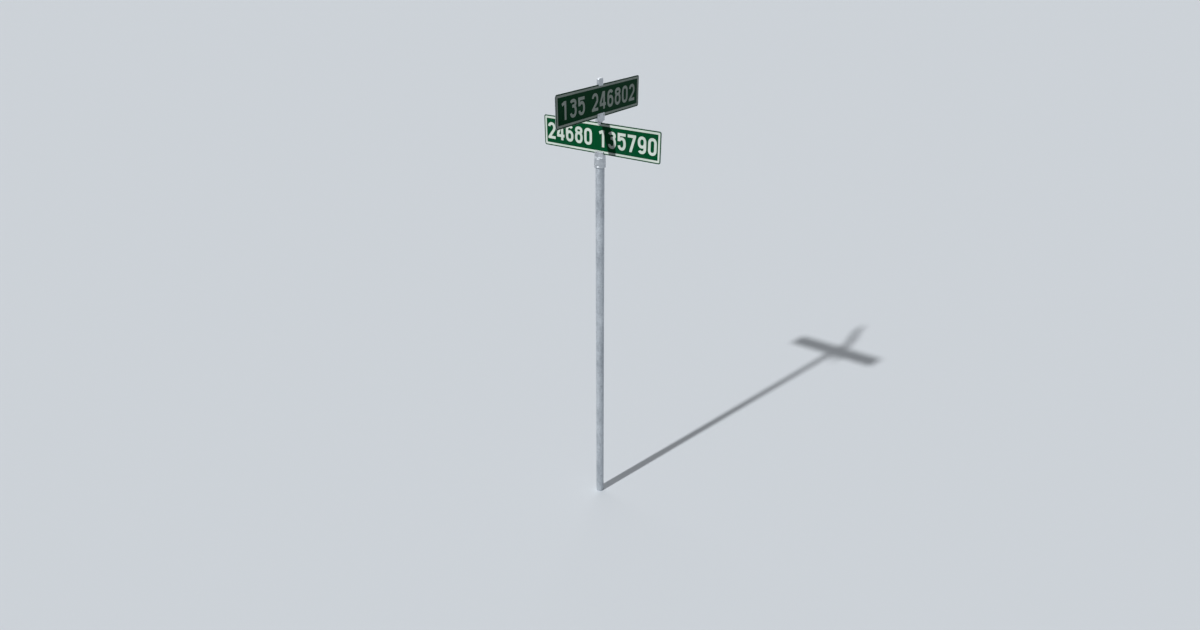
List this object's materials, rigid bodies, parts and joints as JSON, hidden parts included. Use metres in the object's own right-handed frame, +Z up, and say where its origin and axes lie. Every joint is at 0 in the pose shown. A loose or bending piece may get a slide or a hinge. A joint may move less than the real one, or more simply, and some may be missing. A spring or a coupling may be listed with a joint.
{
  "type": "street name sign",
  "caption": "Street name sign: flat name blades crossed at a right angle above a round steel post, held in slotted castings by set screws.",
  "frame": {"origin": "the post's axis at its cut foot, which is ground level", "axes": "+Z up the post, X along the lower blade with its front to -Y, Y along the upper blade with its front to +X"},
  "size_m": [0.9144, 0.9144, 3.3602],
  "materials": {
    "galvanised_steel": "hot-dip galvanised, mottled, dull",
    "cast_aluminium": "sand-cast, weathered satin",
    "blade_aluminium": "rolled sheet, satin",
    "green_sheeting": "retroreflective film, green",
    "white_sheeting": "retroreflective film, white",
    "zinc_plated_steel": "zinc plated"
  },
  "bodies": {
    "post": {"post": "galvanised_steel"},
    "head": {"post_cap": "cast_aluminium", "collar_set_screws": "zinc_plated_steel", "saddle_set_screws": "zinc_plated_steel"},
    "lower_sign": {"lower_blade": "blade_aluminium", "lower_front_sheeting": "green_sheeting", "lower_back_sheeting": "green_sheeting", "lower_front_border": "white_sheeting", "lower_back_border": "white_sheeting"},
    "crosspiece": {"cross_bracket": "cast_aluminium", "foot_set_screws": "zinc_plated_steel", "bracket_set_screws": "zinc_plated_steel"},
    "upper_sign": {"upper_blade": "blade_aluminium", "upper_front_sheeting": "green_sheeting", "upper_back_sheeting": "green_sheeting", "upper_front_border": "white_sheeting", "upper_back_border": "white_sheeting"},
    "crown": {"top_cap": "cast_aluminium", "top_cap_set_screws": "zinc_plated_steel"}
  },
  "joints": [
    {"name": "head_swivel", "type": "hinge", "parent": "post", "child": "head", "pos_m": [0, 0, 2.8], "axis": [0, 0, 1], "continuous": true},
    {"name": "lower_blade_slide", "type": "slide", "parent": "head", "child": "lower_sign", "axis": [1, 0, 0], "range_m": [-0.423, 0.423]},
    {"name": "cross_bracket_slide", "type": "slide", "parent": "lower_sign", "child": "crosspiece", "axis": [1, 0, 0], "range_m": [-0.431, 0.431]},
    {"name": "upper_blade_slide", "type": "slide", "parent": "crosspiece", "child": "upper_sign", "axis": [0, 1, 0], "range_m": [-0.418, 0.418]},
    {"name": "top_cap_slide", "type": "slide", "parent": "upper_sign", "child": "crown", "axis": [0, 1, 0], "range_m": [-0.42, 0.42]}
  ]
}
